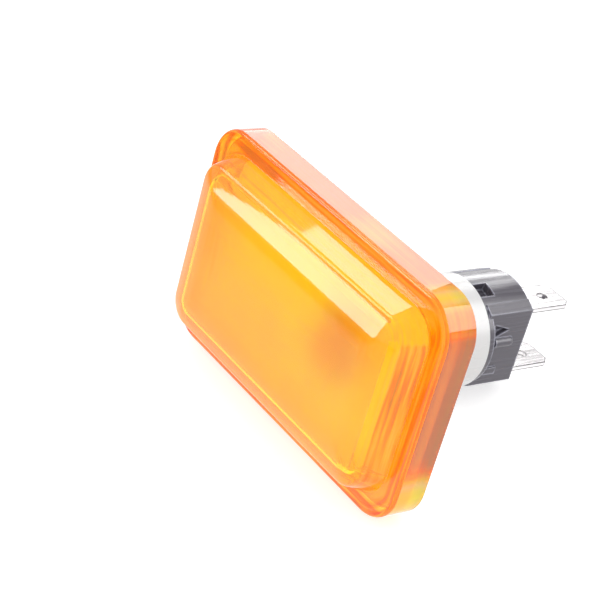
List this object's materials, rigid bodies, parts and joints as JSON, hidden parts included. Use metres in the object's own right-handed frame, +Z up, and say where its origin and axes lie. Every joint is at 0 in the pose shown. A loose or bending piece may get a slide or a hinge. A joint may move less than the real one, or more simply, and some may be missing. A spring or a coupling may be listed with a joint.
{
  "type": "side repeater lamp",
  "caption": "Rectangular amber side repeater lamp for a car wing, with a round barrel, a twist-in bulb holder with two blade terminals and a wedge bulb.",
  "frame": {"origin": "where the barrel's axis meets the outer face of the body panel that the lamp seats on", "axes": "+Y along the barrel, through the panel; -Y out of the lens towards the viewer; +X along the lens's long side; +Z up, as on the car"},
  "size_m": [0.062, 0.0491, 0.0384],
  "materials": {
    "amber_lens": "polished amber acrylic",
    "white_plastic": "moulded white plastic",
    "white_foam": "closed-cell foam",
    "spring_steel": "bright spring steel",
    "black_plastic": "moulded black nylon, satin gloss",
    "black_rubber": "moulded",
    "tinned_brass": "bright tin plating on brass",
    "bulb_glass": "amber-coated glass",
    "lead_wire": "drawn nickel-iron wire",
    "filament_wire": "coiled tungsten wire"
  },
  "bodies": {
    "root": {"lens": "amber_lens", "back_housing": "white_plastic", "panel_gasket": "white_foam", "spring_clip": "spring_steel", "bulb_holder": "black_plastic", "holder_o_ring": "black_rubber", "terminal_upper": "tinned_brass", "terminal_lower": "tinned_brass", "bulb_glass": "bulb_glass", "bulb_lead_left": "lead_wire", "bulb_lead_right": "lead_wire", "bulb_filament": "filament_wire"}
  },
  "joints": []
}
